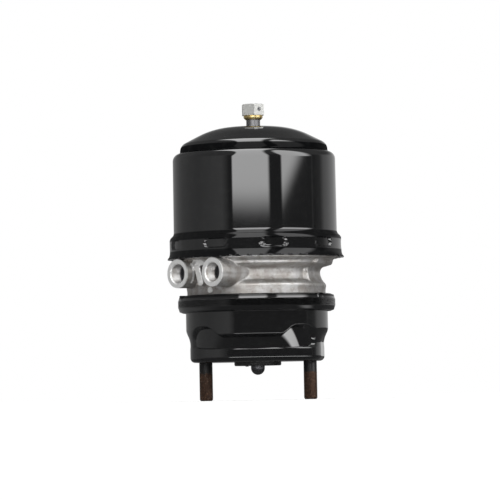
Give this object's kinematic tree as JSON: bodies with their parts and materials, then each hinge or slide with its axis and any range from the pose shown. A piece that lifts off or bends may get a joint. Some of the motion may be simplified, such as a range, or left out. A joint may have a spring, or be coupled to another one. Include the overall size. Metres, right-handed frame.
{
  "type": "brake cylinder",
  "caption": "Spring brake cylinder for a disc brake: black spring and service chambers on a cast body with two air ports, mounting studs and a push rod.",
  "frame": {"origin": "centre of the mounting face, on the cylinder's axis", "axes": "+Z along the cylinder's axis from the mounting face towards the spring chamber, +X along the line of the two studs, -Y the front with the ports"},
  "size_m": [0.2032, 0.2058, 0.341],
  "materials": {
    "black_paint": "gloss",
    "cast_aluminium": "as cast",
    "zinc_plate": "white zinc",
    "yellow_zinc": "yellow zinc plate",
    "steel": "turned",
    "dark_steel": "oiled",
    "stud_steel": "brown phosphate with rust",
    "spring_steel": "coated",
    "rubber": "matt",
    "guide_plastic": "matt"
  },
  "bodies": {
    "chamber": {"spring_housing": "black_paint", "spindle_bush": "steel", "bush_seal": "rubber", "power_spring": "spring_steel", "housing_seal": "rubber", "flange_body": "cast_aluminium", "tube_bush": "guide_plastic", "tube_seal": "rubber", "bush_clip": "steel", "passage_plug": "cast_aluminium", "diaphragm": "rubber", "return_spring": "spring_steel", "clamp_ring": "black_paint", "service_housing": "black_paint", "base_plate": "steel", "stud_left": "stud_steel", "stud_right": "stud_steel", "gaiter": "rubber", "gaiter_ring": "steel", "seal_ring": "rubber"},
    "spindle": {"release_spindle": "steel", "thrust_washer": "steel", "nut_collar": "yellow_zinc", "release_nut": "zinc_plate", "nut_pin": "steel"},
    "nut": {"travel_nut": "steel"},
    "piston": {"piston": "cast_aluminium", "piston_seal": "rubber", "piston_guide": "guide_plastic", "piston_tube": "steel", "tube_pad": "guide_plastic", "tube_ring": "steel"},
    "push_rod": {"push_rod": "dark_steel", "pressure_plate": "steel"}
  },
  "joints": [
    {"name": "piston_travel", "type": "slide", "parent": "chamber", "child": "piston", "axis": [0, 0, -1], "range_m": [0, 0.057], "deforming": ["power_spring"]},
    {"name": "nut_travel", "type": "slide", "parent": "chamber", "child": "nut", "axis": [0, 0, -1], "range_m": [0, 0.057]},
    {"name": "rod_travel", "type": "slide", "parent": "chamber", "child": "push_rod", "axis": [0, 0, -1], "range_m": [0, 0.057], "deforming": ["return_spring", "gaiter", "diaphragm"]},
    {"name": "spindle_turn", "type": "hinge", "parent": "chamber", "child": "spindle", "pos_m": [0, 0, 0.26], "axis": [0, 0, 1], "range_deg": [0, 10260]}
  ],
  "couplings": [
    {"joint": "nut_travel", "follows": "piston_travel", "ratio": 1},
    {"joint": "rod_travel", "follows": "piston_travel", "ratio": 1},
    {"joint": "spindle_turn", "follows": "piston_travel", "rad_per_m": 3141.6}
  ]
}
